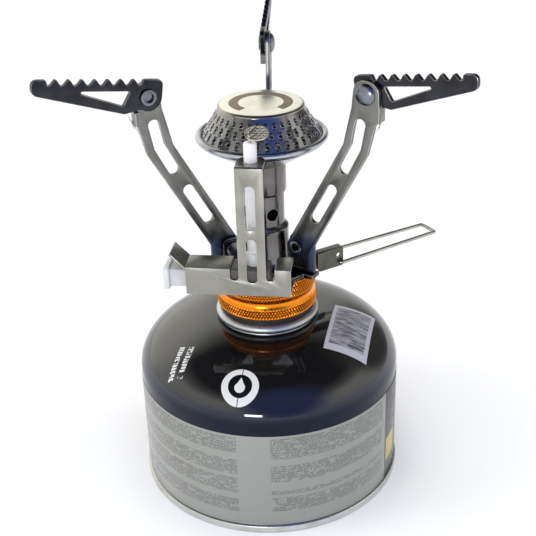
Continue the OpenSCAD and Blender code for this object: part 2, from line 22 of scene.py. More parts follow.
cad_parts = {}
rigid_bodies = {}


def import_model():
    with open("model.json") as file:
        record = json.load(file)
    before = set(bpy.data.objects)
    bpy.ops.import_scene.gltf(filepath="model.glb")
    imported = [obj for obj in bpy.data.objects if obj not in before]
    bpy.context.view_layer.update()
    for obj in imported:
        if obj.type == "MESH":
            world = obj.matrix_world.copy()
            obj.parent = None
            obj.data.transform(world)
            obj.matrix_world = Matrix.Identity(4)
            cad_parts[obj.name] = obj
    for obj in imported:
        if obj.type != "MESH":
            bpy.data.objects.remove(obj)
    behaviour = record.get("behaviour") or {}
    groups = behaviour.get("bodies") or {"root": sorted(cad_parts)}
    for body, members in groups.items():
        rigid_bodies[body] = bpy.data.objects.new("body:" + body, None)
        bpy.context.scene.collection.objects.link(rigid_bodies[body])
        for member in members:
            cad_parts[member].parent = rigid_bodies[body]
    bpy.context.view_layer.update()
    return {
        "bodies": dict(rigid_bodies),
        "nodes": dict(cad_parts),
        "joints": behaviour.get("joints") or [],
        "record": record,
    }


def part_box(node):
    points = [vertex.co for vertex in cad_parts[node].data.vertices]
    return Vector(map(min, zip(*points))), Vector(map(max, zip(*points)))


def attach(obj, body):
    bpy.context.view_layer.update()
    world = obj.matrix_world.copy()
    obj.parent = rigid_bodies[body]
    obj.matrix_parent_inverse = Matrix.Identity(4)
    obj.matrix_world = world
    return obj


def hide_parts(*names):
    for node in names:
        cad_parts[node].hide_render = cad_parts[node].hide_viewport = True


MM = 0.001
# The vertex attribute for how deeply the knurl is cut; the orange finish darkens the grooves by it as
# painted shade.
GROOVE = "groove"
FRAME: dict[str, Any] = {}

Colour = tuple[float, float, float]
Outline = Sequence[tuple[float, float]]
log = logging.getLogger("stove")


# ---- Materials ----


class Grain(Enum):
    """How the fine lines of a metal run: how far a mark is stretched along x, y and z, or round the axis."""

    TURNED = "round the upright axis"
    ALONG_X = (40, 1, 1)
    ALONG_Z = (1, 1, 40)
    SATIN = (1, 1, 1)


class Value:
    """A number in a material's node tree, which the signs of arithmetic work on."""

    def __init__(self, tree: Tree, socket: bpy.types.NodeSocket) -> None:
        """Keeps a node's output with its tree."""
        self.tree, self.socket = tree, socket

    def step(self, operation: str, other: Any = 0.0) -> Value:
        """The result of one step of arithmetic on this number."""
        return self.tree.math(operation, self, other)

    def __add__(self, other: Any) -> Value:
        """This number plus another."""
        return self.step("ADD", other)

    def __sub__(self, other: Any) -> Value:
        """This number less another."""
        return self.step("SUBTRACT", other)

    def __rsub__(self, other: float) -> Value:
        """A plain number less this one."""
        return self.tree.math("SUBTRACT", other, self)

    def __mul__(self, other: Any) -> Value:
        """This number times another."""
        return self.step("MULTIPLY", other)

    def __gt__(self, other: Any) -> Value:
        """1 where this number is the larger, otherwise 0."""
        return self.step("GREATER_THAN", other)

    def __lt__(self, other: Any) -> Value:
        """1 where this number is the smaller, otherwise 0."""
        return self.step("LESS_THAN", other)

    def __or__(self, other: Any) -> Value:
        """The larger of two numbers, which joins two masks."""
        return self.step("MAXIMUM", other)

    def __abs__(self) -> Value:
        """This number without its sign."""
        return self.step("ABSOLUTE")

    def within(self, low: float, high: float) -> Value:
        """1 where this number is between low and high, otherwise 0."""
        return (self > low) * (self < high)


class Tree:
    """A short way to write a node tree."""

    def __init__(self, owner: bpy.types.Material | bpy.types.World) -> None:
        """Starts an empty tree.

        Args:
            owner: the new material or world that it belongs to.
        """
        self.owner = owner
        owner.use_nodes = True
        self.nodes = owner.node_tree.nodes
        self.nodes.clear()

    def node(self, kind: str, inputs: dict[Any, Any] | None = None, **settings: Any) -> bpy.types.Node:
        """Adds a node.

        Args:
            kind: the node's Blender type.
            inputs: values or sockets for its inputs, by name or number.
            settings: its other properties.

        Returns:
            The new node.
        """
        made = self.nodes.new(kind)
        for key, value in settings.items():
            setattr(made, key, value)
        for key, value in (inputs or {}).items():
            self.plug(made.inputs[key], value)
        return made

    def plug(self, socket: bpy.types.NodeSocket, value: Any) -> None:
        """Links an input to a socket, or sets it to a plain value.

        Args:
            socket: the input.
            value: a socket, a Value, a number, a vector or a colour of three numbers.
        """
        value = value.socket if isinstance(value, Value) else value
        if isinstance(value, bpy.types.NodeSocket):
            self.owner.node_tree.links.new(value, socket)
        elif socket.type == "RGBA" and len(value) == 3:
            socket.default_value = (*value, 1.0)
        else:
            socket.default_value = value

    def math(self, operation: str, a: Any, b: Any = 0.0) -> Value:
        """The result of one step of arithmetic."""
        return Value(self, self.node("ShaderNodeMath", {0: a, 1: b}, operation=operation).outputs[0])

    def length(self, a: Value, b: Value) -> Value:
        """The length of a line that runs a one way and b square to it."""
        return (a * a + b * b).step("SQRT")

    def span(self, value: Any, low: float, high: float, to_low: float = 0.0, to_high: float = 1.0) -> Value:
        """A number mapped smoothly from one range to another, and held at its ends outside it.

        Args:
            value: the number.
            low: the start of its range.
            high: the end of its range.
            to_low: the result at low.
            to_high: the result at high.

        Returns:
            The mapped number.
        """
        inputs = {"Value": value, "From Min": low, "From Max": high, "To Min": to_low, "To Max": to_high}
        made = self.node("ShaderNodeMapRange", inputs, interpolation_type="SMOOTHSTEP")
        return Value(self, made.outputs["Result"])

    def place(self) -> bpy.types.NodeSocket:
        """The point on the piece, in millimetres."""
        at = self.node("ShaderNodeTexCoord").outputs["Object"]
        return self.node("ShaderNodeVectorMath", {0: at, "Scale": 1 / MM}, operation="SCALE").outputs[0]

    def split(self, vector: Any) -> tuple[Value, Value, Value]:
        """A vector's three numbers."""
        x, y, z = self.node("ShaderNodeSeparateXYZ", {0: vector}).outputs
        return Value(self, x), Value(self, y), Value(self, z)

    def round_place(self) -> tuple[Value, Value, Value]:
        """The point's distance from the upright axis, its azimuth in degrees, and its height."""
        x, y, z = self.split(self.place())
        return self.length(x, y), y.step("ARCTAN2", x) * math.degrees(1), z

    def join(self, x: Any, y: Any, z: Any = 0.0) -> bpy.types.NodeSocket:
        """A vector from three values."""
        return self.node("ShaderNodeCombineXYZ", {0: x, 1: y, 2: z}).outputs[0]

    def noise(self, at: Any, size: float, detail: float = 3.0, stretch: Colour = (1, 1, 1)) -> Value:
        """Soft noise.

        Args:
            at: the place, in millimetres.
            size: how far across its blotches are, in millimetres.
            detail: how many finer layers it has.
            stretch: how many times longer a blotch is along x, y and z.

        Returns:
            A number from 0 to 1.
        """
        scale = tuple(1 / (size * s) for s in stretch)
        at = self.node("ShaderNodeVectorMath", {0: at, 1: scale}, operation="MULTIPLY").outputs[0]
        inputs = {"Vector": at, "Scale": 1.0, "Detail": detail}
        return Value(self, self.node("ShaderNodeTexNoise", inputs).outputs[0])

    def speckle(self, x: Any, y: Any, z: Any = 0.0) -> Value:
        """A random number for each whole-number cell."""
        cell = self.node("ShaderNodeVectorMath", {0: self.join(x, y, z)}, operation="FLOOR").outputs[0]
        return Value(self, self.node("ShaderNodeTexWhiteNoise", {"Vector": cell}).outputs["Value"])

    def mix(self, share: Any, a: Any, b: Any) -> bpy.types.NodeSocket:
        """Colour a where share is 0 and colour b where it is 1."""
        return self.node("ShaderNodeMix", {"Factor": share, 6: a, 7: b}, data_type="RGBA").outputs[2]

    def ramp(self, value: Any, stops: Sequence[tuple[float, Colour]], blend: str = "LINEAR") -> Value:
        """Colours that follow a number.

        Args:
            value: the number, from 0 to 1.
            stops: where each colour stands, and the colour.
            blend: how one colour goes over into the next.

        Returns:
            The colour.
        """
        made = self.node("ShaderNodeValToRGB", {0: value})
        made.color_ramp.interpolation = blend
        elements = made.color_ramp.elements
        elements.remove(elements[1])
        elements[0].position = stops[0][0]
        elements[0].color = (*stops[0][1], 1)
        for position, colour in stops[1:]:
            elements.new(position).color = (*colour, 1)
        return Value(self, made.outputs[0])

    def bump(self, height: Any, depth: float, under: Any = None) -> bpy.types.NodeSocket:
        """A surface normal from a height.

        Args:
            height: the height, from 0 to 1.
            depth: the height of 1, in millimetres.
            under: the normal of a coarser bump to add this one to.

        Returns:
            The normal.
        """
        inputs = {"Height": height, "Distance": depth * MM, "Strength": 1.0}
        if under is not None:
            inputs["Normal"] = under
        return self.node("ShaderNodeBump", inputs).outputs[0]

    def finish(self, **sockets: Any) -> bpy.types.Material:
        """Adds the shader.

        Args:
            sockets: its inputs, with _ for the spaces in their names.

        Returns:
            The finished material.
        """
        inputs = {key.replace("_", " "): value for key, value in sockets.items()}
        shader = self.node("ShaderNodeBsdfPrincipled", inputs)
        self.node("ShaderNodeOutputMaterial", {0: shader.outputs[0]})
        return self.owner


@dataclass(frozen=True)
class Finish:
    """What every finish has."""

    name: str

    def tree(self) -> Tree:
        """An empty node tree in a new material of this name."""
        return Tree(bpy.data.materials.new(self.name))


@dataclass(frozen=True)
class Metal(Finish):
    """A metal with fine grain, cloudy patches and a little wear; where asked, also painted shade in its
    knurl grooves and a painted dark blue shade low down.
    """

    colour: Colour
    cloud: Colour
    smooth: float
    rough: float
    grain: Grain = Grain.SATIN
    grain_size: float = 0.12
    grain_depth: float = 0.004
    cloud_size: float = 9.0
    grain_shade: float = 0.25
    # Painted shade: a dark colour mixed into the knurl's grooves by how deep they are cut.
    groove: Colour | None = None
    # Painted shade: below the given height the metal turns dark blue, standing in for shade with a blue
    # reflection in it.
    painted_shade_top: float | None = None
    painted_shade_blue: Colour = (0.055, 0.070, 0.115)

    def worn(self) -> Metal:
        """The same metal where an edge has been rubbed bright."""
        brighter = tuple(min(1.0, 0.35 + 0.75 * c) for c in self.colour)
        return replace(self, name=self.name + "_edge", colour=brighter, cloud=self.colour, smooth=0.16,
                       rough=0.3)

    @lru_cache(maxsize=None)
    def make(self) -> bpy.types.Material:
        """Builds the material once.

        Returns:
            The material.
        """
        tree = self.tree()
        at = tree.place()
        if self.grain is Grain.TURNED:
            radius, azimuth, height = tree.round_place()
            lines = tree.noise(tree.join(radius, height, azimuth * 0.004), self.grain_size)
        else:
            lines = tree.noise(at, self.grain_size, stretch=self.grain.value)
        clouds = tree.noise(at, self.cloud_size, detail=4.0)
        smears = tree.noise(at, self.cloud_size / 4, detail=5.0, stretch=(1, 1, 2))
        shade = tree.span(lines, 0.3, 0.7) * self.grain_shade
        colour = tree.mix(tree.span(clouds, 0.35, 0.75, 0, 0.75) + shade, self.colour, self.cloud)
        # Painted shade: the grooves are darkened by how deep they are cut.
        if self.groove is not None:
            depth = tree.node("ShaderNodeAttribute", attribute_name=GROOVE).outputs["Fac"]
            colour = tree.mix(tree.span(depth, 0.1, 0.8), colour, self.groove)
        # Painted shade: dark blue below the given height, with a cloudy edge, standing in for shade and a
        # blue reflection.
        if self.painted_shade_top is not None:
            edge = tree.split(at)[2] + clouds * 5.0
            colour = tree.mix(tree.span(edge, self.painted_shade_top - 4, self.painted_shade_top + 5), self.painted_shade_blue, colour)
        rough = tree.span(smears, 0.35, 0.7, self.smooth, self.rough) + lines * 0.06
        normal = tree.bump(lines, self.grain_depth)
        return tree.finish(Metallic=1.0, Base_Color=colour, Roughness=rough, Normal=normal)


@dataclass(frozen=True)
class Moulded(Finish):
    """A moulded plastic, rubber or glazed ceramic."""

    colour: Colour
    shadow: Colour
    smooth: float
    rough: float
    pit_depth: float = 0.01
    coat: float = 0.0
    glow_depth: float = 0.0

    @lru_cache(maxsize=None)
    def make(self) -> bpy.types.Material:
        """Builds the material once.

        Returns:
            The material.
        """
        tree = self.tree()
        at = tree.place()
        flow = tree.noise(at, 5.0, detail=4.0)
        pits = tree.noise(at, 0.25, detail=2.0)
        grime = tree.span(tree.noise(at, 1.6, detail=5.0), 0.55, 0.8, 0, 0.5)
        colour = tree.mix(tree.span(flow, 0.3, 0.8, 0, 0.4) + grime, self.colour, self.shadow)
        rough = tree.span(flow, 0.3, 0.7, self.smooth, self.rough)
        return tree.finish(Base_Color=colour, Roughness=rough, Normal=tree.bump(pits, self.pit_depth),
                           Coat_Weight=self.coat, Coat_Roughness=0.05, Subsurface_Weight=self.glow_depth,
                           Subsurface_Scale=MM)


@dataclass(frozen=True)
class Lacquer(Finish):
    """Glossy black lacquer with a plain ring emblem and two rows of small marks printed in white."""

    name: str = "black_lacquer"
    ring_azimuth: float = -99.5
    ring_radius: float = 45.7
    ring_in: float = 4.7
    ring_out: float = 7.3
    drop_tip: float = -3.4
    drop_low: float = 0.9
    rows_at: tuple[float, float] = (-32.0, -30.4)
    rows_turn: float = -17.0
    rows_half: float = 6.6
    strokes_per_mm: float = 0.9
    slope: float = 1.23
    wall_top: float = 51.0
    front: float = -88.0

    def printed_ring(self, tree: Tree, radius: Value, azimuth: Value) -> Value:
        """A white ring with a white drop shape in it.

        Args:
            tree: the material's tree.
            radius: the point's distance from the upright axis.
            azimuth: the point's azimuth, in degrees.

        Returns:
            The mask of the white ink.
        """
        out = (radius - self.ring_radius) * self.slope
        aside = (azimuth - self.ring_azimuth) * math.radians(self.ring_radius)
        ring = tree.length(out, aside).within(self.ring_in, self.ring_out)
        notch = abs(aside) < 0.16
        tip = (abs(aside) < (out - self.drop_tip) * 0.48) * out.within(self.drop_tip, 0.6)
        belly = tree.length(out - self.drop_low, aside) < 2.05
        return ring * (1 - notch) | belly | tip

    def printed_rows(self, tree: Tree) -> Value:
        """Two short rows of white blocks that run down the dome.

        Args:
            tree: the material's tree.

        Returns:
            The mask of the white ink.
        """
        x, y, _ = tree.split(tree.place())
        x, y = x - self.rows_at[0], y - self.rows_at[1]
        cos, sin = math.cos(math.radians(self.rows_turn)), math.sin(math.radians(self.rows_turn))
        along, aside = y * cos - x * sin, x * cos + y * sin
        stroke = along * self.strokes_per_mm
        rows = aside.within(-3.5, -1.3) | aside.within(0.6, 2.9)
        bitten = tree.speckle(stroke * 2, aside * 1.1) > 0.22
        words = tree.speckle(stroke, 0.0, aside.step("SIGN")) > 0.05
        inked = (stroke.step("FRACT") > 0.24) * bitten * words
        return rows * along.within(-self.rows_half, self.rows_half) * inked

    @lru_cache(maxsize=None)
    def make(self) -> bpy.types.Material:
        """Builds the material once.

        Returns:
            The material.
        """
        tree = self.tree()
        radius, azimuth, height = tree.round_place()
        ink = self.printed_ring(tree, radius, azimuth) | self.printed_rows(tree)
        dust = tree.span(tree.noise(tree.place(), 0.9, detail=6.0), 0.62, 0.8, 0, 0.12)
        black = tree.mix(dust, (0.005, 0.005, 0.0055), (0.04, 0.038, 0.034))
        wipes = tree.noise(tree.join(radius, azimuth), 3.0, detail=5.0, stretch=(0.5, 6, 1))
        waves = tree.noise(tree.join(radius, azimuth * 0.05), 2.4, detail=2.0)
        shaded = tree.span(radius, 26, 40, 1, 0) * tree.span(abs(azimuth - self.front), 30, 65, 1, 0)
        shine = tree.span(height, self.wall_top, self.wall_top + 7.0, 0.2, 0.62) * (1 - shaded * 0.7)
        # Painted reflection: the shine is tinted blue on the shoulder, standing in for a blue sky reflected
        # there.
        tint = tree.mix(tree.span(height, self.wall_top, self.wall_top + 9.0), (0.42, 0.55, 1.0), (1, 1, 1))
        return tree.finish(Base_Color=tree.mix(ink, black, (0.66, 0.67, 0.66)), IOR=1.7,
                           Roughness=tree.span(wipes, 0.4, 0.75, 0.05, 0.13) + dust * 0.5,
                           Normal=tree.bump(waves, 0.012), Specular_IOR_Level=shine, Specular_Tint=tint)


@dataclass(frozen=True)
class PrintedLabel(Finish):
    """A grey label round the canister's wall, with columns of tiny unreadable lines, a stripe and a patch.

    Columns are ranges of azimuth in degrees, and blocks are ranges of height in millimetres.
    """

    name: str = "printed_label"
    line_pitch: float = 0.8
    stroke: float = 0.36
    wall_radius: float = 53.9
    wall_height: float = 50.0
    columns: Outline = ((-176, -100.6), (-87.0, -29.5), (12, 82), (96, 172))
    left_blocks: Outline = ((9.3, 16.2), (18.9, 26.2), (28.0, 35.3), (38.4, 45.4))
    right_blocks: Outline = ((10.2, 17.0), (18.6, 20.4), (25.0, 32.6), (35.6, 45.6))

    @staticmethod
    def steps(tree: Tree, value: Value, low: float, high: float, ranges: Outline) -> Value:
        """A hard-edged mask of ranges.

        Args:
            tree: the material's tree.
            value: the number that is looked up.
            low: the smallest number there can be.
            high: the largest number there can be.
            ranges: where the mask is on, in rising order.

        Returns:
            1 where value lies in one of the ranges, otherwise 0.
        """
        share = tree.node("ShaderNodeMapRange", {"Value": value, "From Min": low, "From Max": high})
        stops = [(0.0, (0, 0, 0))]
        for start, end in ranges:
            stops += [((start - low) / (high - low), (1, 1, 1)), ((end - low) / (high - low), (0, 0, 0))]
        return tree.ramp(share.outputs["Result"], stops, "CONSTANT")

    @lru_cache(maxsize=None)
    def make(self) -> bpy.types.Material:
        """Builds the material once.

        Returns:
            The material.
        """
        tree = self.tree()
        at = tree.place()
        _, azimuth, height = tree.round_place()
        left, right = (self.steps(tree, height, 0, self.wall_height, blocks)
                       for blocks in (self.left_blocks, self.right_blocks))
        printed = self.steps(tree, azimuth, -180, 180, self.columns) * tree.mix(azimuth > -94, left, right)
        line = height.step("DIVIDE", self.line_pitch)
        row = line.step("FLOOR")
        along = azimuth * math.radians(self.wall_radius)
        letters = tree.speckle(along.step("DIVIDE", self.stroke), row) > 0.22
        words = tree.speckle(along.step("DIVIDE", self.stroke * 6.3), row, 4.0) > 0.07
        ink = printed * line.step("FRACT").within(0.16, 0.84) * letters * words
        patch = azimuth.within(-23.5, -13) * height.within(12, 23)
        paper = tree.mix(tree.noise(at, 14.0, detail=3.0), (0.30, 0.308, 0.282), (0.255, 0.262, 0.24))
        colour = tree.mix(ink * 0.62, paper, (0.065, 0.069, 0.062))
        colour = tree.mix(azimuth.within(-25, -3), colour, (0.012, 0.012, 0.010))
        colour = tree.mix(patch, colour, (0.55, 0.42, 0.03))
        rough = tree.span(tree.noise(at, 3.0, detail=5.0), 0.3, 0.7, 0.3, 0.4)
        return tree.finish(Base_Color=colour, Roughness=rough, Normal=tree.bump(tree.noise(at, 8.0), 0.02),
                           Metallic=0.25, Coat_Weight=0.4, Coat_Roughness=0.12)


@dataclass(frozen=True)
class PaperSticker(Finish):
    """A white sticker with grey printed lines across it."""

    name: str = "paper_sticker"

    @lru_cache(maxsize=None)
    def make(self) -> bpy.types.Material:
        """Builds the material once.

        Returns:
            The material.
        """
        tree = self.tree()
        at = tree.place()
        x, y, _ = tree.split(at)
        level, aside = y + x * 0.06, x - y * 0.133
        fine = tree.noise(tree.join(aside, level), 0.62, detail=2.0, stretch=(9, 1, 1))
        broad = tree.noise(tree.join(aside, level), 2.6, detail=3.0, stretch=(2.4, 1, 1))
        tone = tree.span(fine, 0.38, 0.6, 0.0, 0.55) + tree.span(broad, 0.35, 0.65, 0.1, 0.45)
        lines = tone * level.within(-20.4, 6.2) * aside.within(28.6, 42.6)
        bar = level.within(-19.2, -18.2) * aside.within(36.0, 42.0)
        fibre = tree.noise(at, 0.4, detail=5.0)
        paper = tree.mix(fibre, (0.47, 0.47, 0.52), (0.40, 0.40, 0.45))
        return tree.finish(Base_Color=tree.mix(lines | bar, paper, (0.055, 0.055, 0.065)),
                           Roughness=tree.span(fibre, 0.3, 0.7, 0.32, 0.5),
                           Normal=tree.bump(tree.noise(at, 5.0), 0.05), Coat_Weight=0.3, Coat_Roughness=0.2)


@dataclass(frozen=True)
class EtchedCap(Finish):
    """The burner's polished cap, with a plain open ring etched into it in tan."""

    name: str = "etched_cap"
    ring_in: float = 8.6
    ring_out: float = 12.2
    gap_azimuth: float = -85.0
    gap_half: float = 42.0

    @lru_cache(maxsize=None)
    def make(self) -> bpy.types.Material:
        """Builds the material once.

        Returns:
            The material.
        """
        tree = self.tree()
        at = tree.place()
        radius, azimuth, _ = tree.round_place()
        ring = radius.within(self.ring_in, self.ring_out) * (abs(azimuth - self.gap_azimuth) > self.gap_half)
        cloud = tree.noise(at, 7.0, detail=4.0)
        bare = tree.mix(cloud, (0.95, 0.93, 0.84), (0.87, 0.85, 0.75))
        colour = tree.mix(ring, bare, (0.36, 0.30, 0.23))
        colour = tree.mix(tree.span(radius, 15.4, 16.0), colour, (0.40, 0.39, 0.33))
        brushed = tree.bump(tree.noise(at, 0.1, stretch=Grain.ALONG_X.value), 0.0004)
        return tree.finish(Base_Color=colour, Metallic=1.0,
                           Roughness=ring * 0.25 + tree.span(cloud, 0.3, 0.7, 0.2, 0.3),
                           Normal=tree.bump(1 - ring, 0.01, brushed))


LACQUER = Lacquer()
LABEL = PrintedLabel()
STICKER = PaperSticker()
CAP = EtchedCap()
SEAM_STEEL = Metal("seam_steel", (0.66, 0.67, 0.64), (0.50, 0.51, 0.49), 0.24, 0.34, Grain.TURNED,
                   grain_depth=0.001)
CUP_STEEL = Metal("cup_steel", (0.62, 0.65, 0.67), (0.52, 0.55, 0.57), 0.34, 0.44, Grain.TURNED,
                  grain_depth=0.001)
# Its groove colour is painted shade in the knurl's grooves.
ORANGE = Metal("orange_anodised", (0.94, 0.31, 0.021), (0.78, 0.21, 0.012), 0.18, 0.28, Grain.TURNED,
               grain_size=0.2, grain_depth=0.001, grain_shade=0.1, groove=(0.20, 0.045, 0.004))
TUBE_STEEL = Metal("tube_steel", (0.20, 0.19, 0.185), (0.12, 0.11, 0.10), 0.12, 0.22, Grain.TURNED,
                   grain_depth=0.001)
CONE_STEEL = Metal("cone_steel", (0.34, 0.34, 0.35), (0.25, 0.235, 0.22), 0.12, 0.2, Grain.TURNED,
                   grain_depth=0.0008)
PAN_STEEL = Metal("pan_steel", (0.50, 0.53, 0.58), (0.34, 0.35, 0.37), 0.16, 0.26, Grain.TURNED,
                  grain_depth=0.001)
HOLE_STEEL = Metal("hole_steel", (0.60, 0.60, 0.58), (0.45, 0.45, 0.44), 0.2, 0.3)
# The arms are painted dark blue below about 114 mm, as shade with a blue reflection in it.
ARM_STEEL = Metal("arm_steel", (0.235, 0.237, 0.217), (0.165, 0.165, 0.152), 0.26, 0.38, Grain.ALONG_Z,
                  grain_depth=0.006, painted_shade_top=114.0)
DARK_STEEL = Metal("dark_steel", (0.05, 0.052, 0.06), (0.028, 0.028, 0.032), 0.2, 0.34, Grain.SATIN)
SHEET_STEEL = Metal("sheet_steel", (0.33, 0.327, 0.29), (0.24, 0.237, 0.21), 0.26, 0.38, Grain.ALONG_X,
                    grain_size=0.1, grain_depth=0.006)
WIRE_STEEL = Metal("wire_steel", (0.55, 0.54, 0.50), (0.38, 0.37, 0.34), 0.16, 0.28, grain_depth=0.001)
DISC_STEEL = Metal("disc_steel", (0.80, 0.76, 0.64), (0.60, 0.56, 0.46), 0.24, 0.36, grain_depth=0.001)
RIVET_STEEL = Metal("rivet_steel", (0.24, 0.25, 0.28), (0.13, 0.14, 0.16), 0.14, 0.26, grain_depth=0.002)
BRACKET_STEEL = Metal("bracket_steel", (0.13, 0.127, 0.11), (0.08, 0.078, 0.066), 0.24, 0.36)
BRASS = Metal("brass", (0.68, 0.44, 0.16), (0.45, 0.28, 0.10), 0.22, 0.38, Grain.TURNED)
RUBBER = Moulded("black_rubber", (0.02, 0.02, 0.021), (0.035, 0.034, 0.033), 0.5, 0.7)
GREY_PLASTIC = Moulded("grey_plastic", (0.66, 0.67, 0.66), (0.50, 0.51, 0.51), 0.34, 0.5)
DARK_PLASTIC = Moulded("dark_plastic", (0.05, 0.045, 0.04), (0.09, 0.07, 0.05), 0.3, 0.5)
CERAMIC = Moulded("glazed_ceramic", (0.88, 0.88, 0.87), (0.74, 0.73, 0.70), 0.1, 0.2, 0.004, 0.6, 0.1)


# ---- Shapes ----


def arc(centre: tuple[float, float], radius: float, start: float, end: float,
        steps: int) -> list[tuple[float, float]]:
    """Points on an arc from start to end, in degrees."""
    turns = [math.radians(start + (end - start) * i / steps) for i in range(steps + 1)]
    return [(centre[0] + radius * math.cos(a), centre[1] + radius * math.sin(a)) for a in turns]


def turned(outline: Outline, steps: int = 160) -> bmesh.types.BMesh:
    """Spins an outline about the upright axis.

    Args:
        outline: (radius, height) points in millimetres. It is closed unless both ends are on the axis.
        steps: how many faces there are round the axis.

    Returns:
        The closed mesh, in metres.
    """
    bm = bmesh.new()
    points = [bm.verts.new((r * MM, 0, z * MM)) for r, z in outline]
    edges = [bm.edges.new(pair) for pair in zip(points, points[1:])]
    if outline[0][0] > 0 or outline[-1][0] > 0:
        edges.append(bm.edges.new((points[-1], points[0])))
    bmesh.ops.spin(bm, geom=points + edges, cent=(0, 0, 0), axis=(0, 0, 1), angle=math.tau, steps=steps,
                   use_merge=True)
    bmesh.ops.remove_doubles(bm, verts=bm.verts, dist=1e-7)
    bmesh.ops.recalc_face_normals(bm, faces=bm.faces)
    return bm


def round_edges(bm: bmesh.types.BMesh, edges: list[bmesh.types.BMEdge], width: float,
                segments: int = 2, finish: int = -1) -> None:
    """Rounds edges.

    Args:
        bm: the mesh.
        edges: its edges that are rounded.
        width: how far back from the edge the rounding starts, in millimetres.
        segments: how many faces there are across the rounding.
        finish: which of the piece's finishes the rounding has, or -1 for the same as beside it.
    """
    bmesh.ops.bevel(bm, geom=edges, offset=width * MM, offset_type="OFFSET", affect="EDGES",
                    segments=segments, profile=0.5, material=finish, clamp_overlap=False)


def sharp_edges(bm: bmesh.types.BMesh, angle: float = 28.0) -> list[bmesh.types.BMEdge]:
    """The edges whose two faces meet at more than angle, in degrees."""
    limit = math.radians(angle)
    return [e for e in bm.edges if len(e.link_faces) == 2 and e.calc_face_angle(0.0) > limit]


def copied(node: str) -> bmesh.types.BMesh:
    """A copy of a CAD node's mesh.

    Args:
        node: the CAD node.

    Returns:
        The copy, with its loose triangles joined and its flat faces whole.
    """
    bm = bmesh.new()
    bm.from_mesh(FRAME["nodes"][node].data)
    bmesh.ops.remove_doubles(bm, verts=bm.verts, dist=0.002 * MM)
    bmesh.ops.dissolve_limit(bm, angle_limit=math.radians(0.5), verts=bm.verts, edges=bm.edges)
    return bm


def drawn_wire(path: Sequence[Vector], radius: float, sides: int = 20) -> bmesh.types.BMesh:
    """A round wire along a path.

    Args:
        path: points in millimetres.
        radius: the wire's radius in millimetres.
        sides: how many faces there are round it.

    Returns:
        The closed mesh, in metres.
    """
    curve = bpy.data.curves.new("wire_path", "CURVE")
    curve.dimensions = "3D"
    curve.bevel_depth = radius * MM
    curve.bevel_resolution = sides // 4
    curve.use_fill_caps = True
    spline = curve.splines.new("POLY")
    spline.points.add(len(path) - 1)
    for point, place in zip(spline.points, path):
        point.co = (*(place * MM), 1)
    holder = bpy.data.objects.new("wire_path", curve)
    mesh = bpy.data.meshes.new_from_object(holder)
    bm = bmesh.new()
    bm.from_mesh(mesh)
    bpy.data.objects.remove(holder)
    bpy.data.curves.remove(curve)
    bpy.data.meshes.remove(mesh)
    bmesh.ops.remove_doubles(bm, verts=bm.verts, dist=1e-7)
    bmesh.ops.recalc_face_normals(bm, faces=bm.faces)
    return bm


def bent(corners: Sequence[Vector], radii: Sequence[float], steps: int = 8) -> list[Vector]:
    """A line with rounded corners.

    Args:
        corners: the line's two ends and the corners between them, in millimetres.
        radii: the radius of each corner between the ends, in millimetres.
        steps: how many pieces each rounding has.

    Returns:
        The points along the line.
    """
    line = [corners[0]]
    for before, corner, after, radius in zip(corners, corners[1:], corners[2:], radii):
        back, on = (before - corner).normalized(), (after - corner).normalized()
        half = back.angle(on) / 2
        centre = corner + (back + on).normalized() * radius / math.sin(half)
        start = corner + back * radius / math.tan(half) - centre
        end = corner + on * radius / math.tan(half) - centre
        line += [centre + start.slerp(end, i / steps) for i in range(steps + 1)]
    return [*line, corners[-1]]


def hang(name: str, bm: bmesh.types.BMesh, body: str, finishes: Sequence[Finish],
         stands_for: Sequence[str] = (), smooth_angle: float = 32.0) -> bpy.types.Object:
    """Makes a piece from a mesh and fixes it to a body of the frame.

    Args:
        name: the piece's name.
        bm: its mesh, which is used up.
        body: the CAD body that it moves with.
        finishes: its finishes, one for each material slot of the mesh.
        stands_for: the CAD nodes that it replaces.
        smooth_angle: faces that meet at less than this are shaded smoothly, in degrees.

    Returns:
        The piece.
    """
    mesh = bpy.data.meshes.new(name)
    for face in bm.faces:
        face.smooth = True
    bm.to_mesh(mesh)
    bm.free()
    mesh.set_sharp_from_angle(angle=math.radians(smooth_angle))
    for finish in finishes:
        mesh.materials.append(finish.make())
    piece = bpy.data.objects.new(name, mesh)
    bpy.context.scene.collection.objects.link(piece)
    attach(piece, body)
    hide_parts(*stands_for)
    log.info("%s: %d faces, rides on %s", name, len(mesh.polygons), body)
    return piece


def dress(node: str, finish: Finish) -> None:
    """Gives a CAD node that keeps its own shape a finish.

    Args:
        node: the CAD node.
        finish: its finish.
    """
    mesh = FRAME["nodes"][node].data
    mesh.materials.clear()
    mesh.materials.append(finish.make())
    log.info("%s: CAD shape, %s", node, finish.name)


def softened(node: str, body: str, finish: Finish, width: float,
             edge_finish: Finish | None = None) -> bpy.types.Object:
    """Replaces a CAD node by a copy with rounded edges.

    Args:
        node: the CAD node.
        body: its body.
        finish: the finish of its faces.
        width: how far the edges are rounded, in millimetres.
        edge_finish: the finish of the rounded edges, or None for the same as the faces.

    Returns:
        The piece.
    """
    bm = copied(node)
    round_edges(bm, sharp_edges(bm), width, finish=-1 if edge_finish is None else 1)
    finishes = [finish] if edge_finish is None else [finish, edge_finish]
    return hang(node + "_finished", bm, body, finishes, [node])


def low_mm(node: str) -> Vector:
    """A CAD node's lowest corner, in millimetres."""
    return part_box(node)[0] / MM


def high_mm(node: str) -> Vector:
    """A CAD node's highest corner, in millimetres."""
    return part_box(node)[1] / MM


# ---- The stove's sub-assemblies ----


